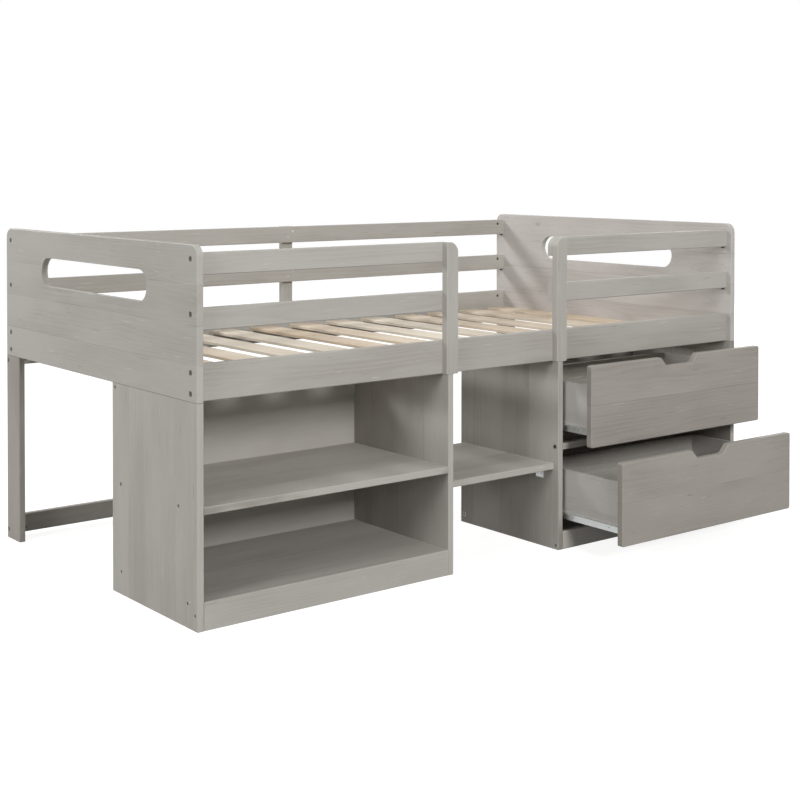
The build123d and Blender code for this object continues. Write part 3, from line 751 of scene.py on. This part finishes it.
def studio_floor():
    """Matt pale paint that reads white to the camera and still keeps the soft shadow of the bed."""
    made, tree, shader = new_material("pale_studio_floor")
    fill(shader, {"Base Color": colour("#8c8b88"), "Roughness": 0.9})
    ray = add(tree, "ShaderNodeLightPath")
    looked_at = add(tree, "ShaderNodeMath", ray["Is Camera Ray"], ray["Is Glossy Ray"], operation="MAXIMUM")[0]
    strength = add(tree, "ShaderNodeMapRange", named={0: inside_chest(tree), 3: floor_glow, 4: 0.0})[0]
    glow = add(tree, "ShaderNodeEmission", named={"Color": white, "Strength": strength})[0]
    lit = add(tree, "ShaderNodeAddShader", shader.outputs[0], glow)[0]
    mixed = add(tree, "ShaderNodeMixShader", looked_at, shader.outputs[0], lit)[0]
    fill(tree.nodes["Material Output"], {"Surface": mixed})
    return made


corners = [(-floor_half, -floor_half, 0), (floor_half, -floor_half, 0), (floor_half, floor_half, 0),
           (-floor_half, floor_half, 0)]
mesh = bpy.data.meshes.new("floor")
mesh.from_pydata(corners, [], [(0, 1, 2, 3)])
mesh.materials.append(studio_floor())
floor = bpy.data.objects.new("floor", mesh)
bpy.context.scene.collection.objects.link(floor)
floor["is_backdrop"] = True
print("floor of", 2 * floor_half, "m")

# %% [markdown]
# ## Sky
# The sky is the same trick: white where it is looked at, and only a weak fill to everything else.
# A sky that lit the bed at full strength would wash its shadows out.

# %% White sky
sky_fill, sky_seen = 0.2, 1.0
world = bpy.data.worlds.new("white_studio")
bpy.context.scene.world = world
world.use_nodes = True
sky = world.node_tree
path = add(sky, "ShaderNodeLightPath")
shown = add(sky, "ShaderNodeMath", path["Is Camera Ray"], path["Is Glossy Ray"], operation="MAXIMUM")[0]
level = add(sky, "ShaderNodeMapRange", named={0: shown, 3: sky_fill, 4: sky_seen})[0]
fill(sky.nodes["Background"], {"Color": white, "Strength": level})
print("sky", sky_fill, "to the bed and", sky_seen, "to the eye")

# %% [markdown]
# ## Lamps
# Front and left side of the bed are about equally bright, which takes two broad lamps, one for each, well away
# from it. The front lamp stands high, so the side board shades the top of the bookcase's back.
# A smaller lamp, high behind the left corner, throws the slanting shadows of the back rails on the right end panel.
# A wide weak one overhead lifts the tops, and a last one fills the back.
# One lamp could not do all of it, and with a lit dome alone the bed would look flat.


# %% Five soft lamps
def lamp(name, place, aim, size, power):
    """A square soft lamp that looks at a point, its size in metres and its power in watts."""
    light = bpy.data.lights.new(name, "AREA")
    light.size = size
    light.energy = power
    made = bpy.data.objects.new(name, light)
    made.location = place
    made.rotation_euler = (Vector(aim) - Vector(place)).to_track_quat("-Z", "Y").to_euler()
    bpy.context.scene.collection.objects.link(made)
    print(name, power, "W")


heart = (0, 0, 0.5)
lamp("key_front", place=(-0.8, -7.4, 3.5), aim=heart, size=1.6, power=400)
lamp("key_left", place=(-7.0, -2.0, 3.0), aim=heart, size=2.2, power=185)
lamp("back_left_high", place=(-2.6, 3.6, 3.4), aim=(0.3, 0.1, 0.5), size=1.0, power=145)
lamp("overhead", place=(0.5, 0.2, 4.2), aim=(0.3, 0.1, 0), size=4.6, power=36)
lamp("back_right_fill", place=(6.5, 3.0, 2.6), aim=heart, size=3.0, power=130)

# %% [markdown]
# ## Camera
# The camera stands where the picture's own lines say: its place, turn and focal length were solved from
# the board edges. The focal length and the point that the lens looks at are in pixels of the 800 by 800 picture,
# and Blender wants them as a lens in millimetres and a shift in parts of the picture.
# Placing it by eye would be quicker, but then no edge would fall where it should.

# %% Camera
picture = 800
focal = 1425.85
principal_x, principal_y = 352.65, 188.88
turn, tilt = math.radians(37.052), math.radians(1.0)
eye_place = (-2.68156, -3.28165, 1.0923)

eye = bpy.data.cameras.new("photo_view")
eye.sensor_width = 36.0
eye.lens = focal / picture * eye.sensor_width
eye.shift_x = (picture / 2 - principal_x) / picture
eye.shift_y = (principal_y - picture / 2) / picture
camera = bpy.data.objects.new("photo_view", eye)
camera.location = eye_place
look = Vector((math.sin(turn) * math.cos(tilt), math.cos(turn) * math.cos(tilt), -math.sin(tilt)))
camera.rotation_euler = look.to_track_quat("-Z", "Y").to_euler()
bpy.context.scene.collection.objects.link(camera)
bpy.context.scene.camera = camera
bpy.context.scene.view_settings.view_transform = "Standard"
print("lens", round(eye.lens, 2), "mm")

# %% [markdown]
# ## Sizes and the end
# The heads of the case screws stand 0.7 mm proud of the outer case sides. Nothing else reaches past the box of the
# imported bed. The last line measures the box of the whole scene.

# %% Sizes and the end
low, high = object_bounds()
